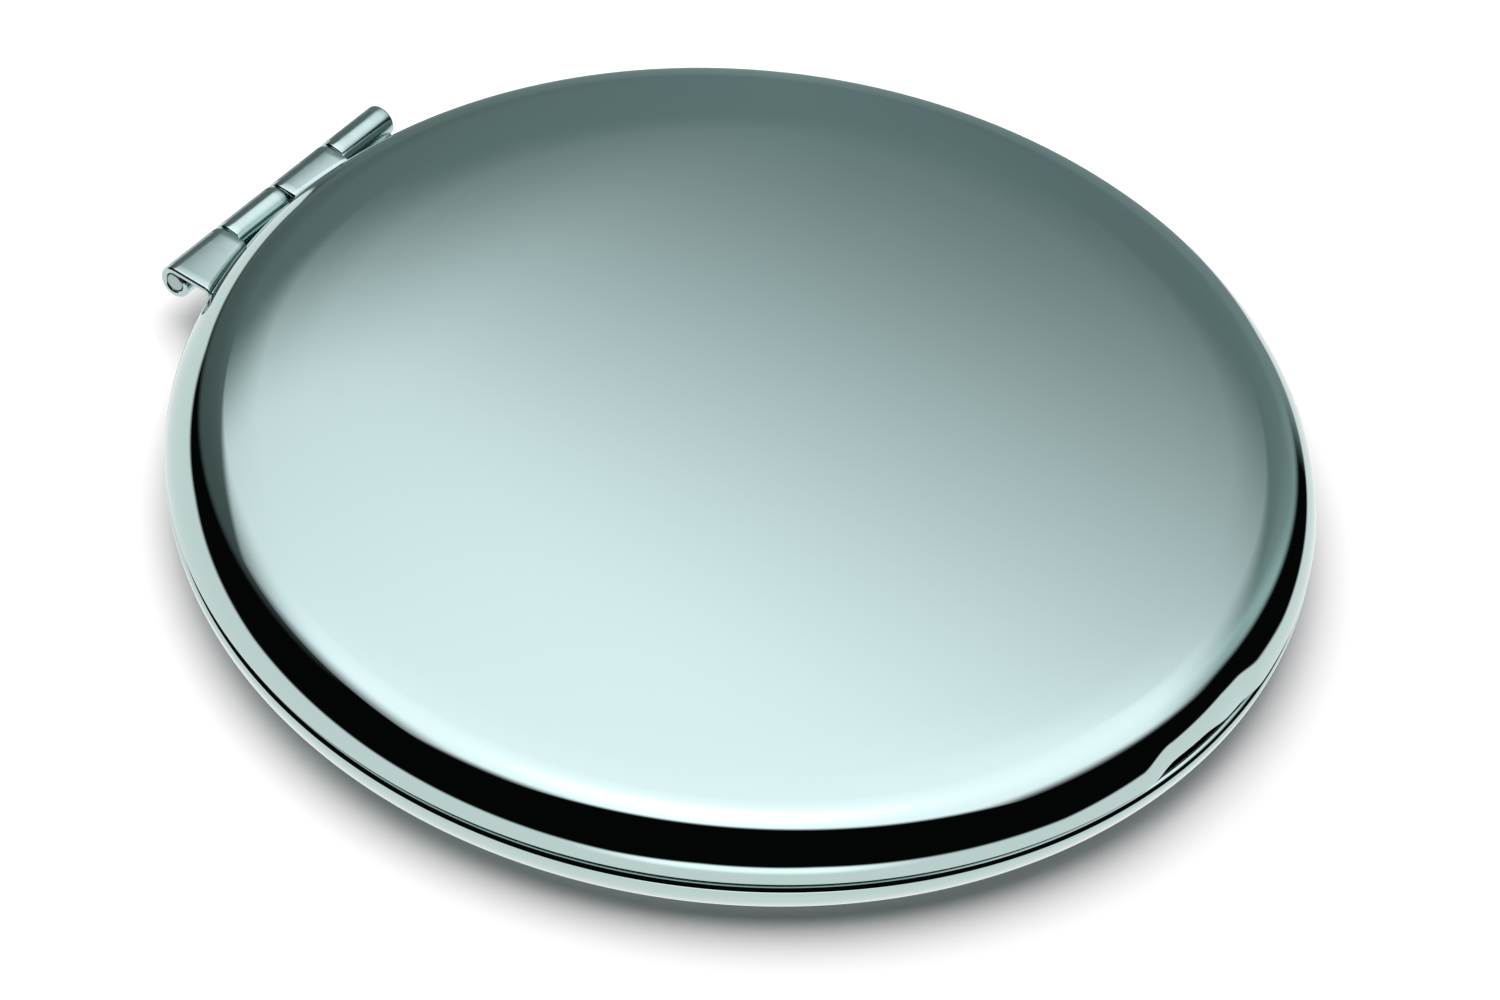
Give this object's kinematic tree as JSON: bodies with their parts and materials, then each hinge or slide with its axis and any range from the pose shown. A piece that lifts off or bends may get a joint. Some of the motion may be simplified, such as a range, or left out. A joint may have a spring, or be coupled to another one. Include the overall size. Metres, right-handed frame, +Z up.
{
  "type": "compact mirror",
  "caption": "Round chrome compact mirror, shown closed: slim domed case with rounded edges, a rolled-knuckle hinge at the back, a thumb scallop at the front and mirror glass inside.",
  "frame": {"origin": "centre of the flat underside of the base", "axes": "+Z up through the closed lid, +Y towards the hinge, -Y towards the thumb scallop, X along the hinge pin"},
  "size_m": [0.07, 0.0724, 0.008],
  "materials": {
    "chrome": "polished chrome plate with faint wiping scratches",
    "frame_chrome": "bright stamped ring, slightly softer than the case",
    "hinge_chrome": "plated rolled sheet, worn at the roll edges",
    "pin": "drawn steel wire with cut ends",
    "mirror": "silvered glass",
    "backing": "grey-brown card disc",
    "magnet": "nickel-plated bar magnet"
  },
  "bodies": {
    "base": {"base_shell": "chrome", "base_frame": "frame_chrome", "base_mirror": "mirror", "base_backing": "backing", "base_magnet": "magnet", "base_leaf_outer": "hinge_chrome", "base_leaf_inner": "hinge_chrome", "hinge_pin": "pin"},
    "lid": {"lid_shell": "chrome", "lid_frame": "frame_chrome", "lid_mirror": "mirror", "lid_backing": "backing", "lid_magnet": "magnet", "lid_leaf_outer": "hinge_chrome", "lid_leaf_inner": "hinge_chrome"}
  },
  "joints": [
    {"name": "lid_hinge", "type": "hinge", "parent": "base", "child": "lid", "pos_m": [0, 0.0363, 0.0038], "axis": [-1, 0, 0], "range_deg": [0, 178]}
  ]
}
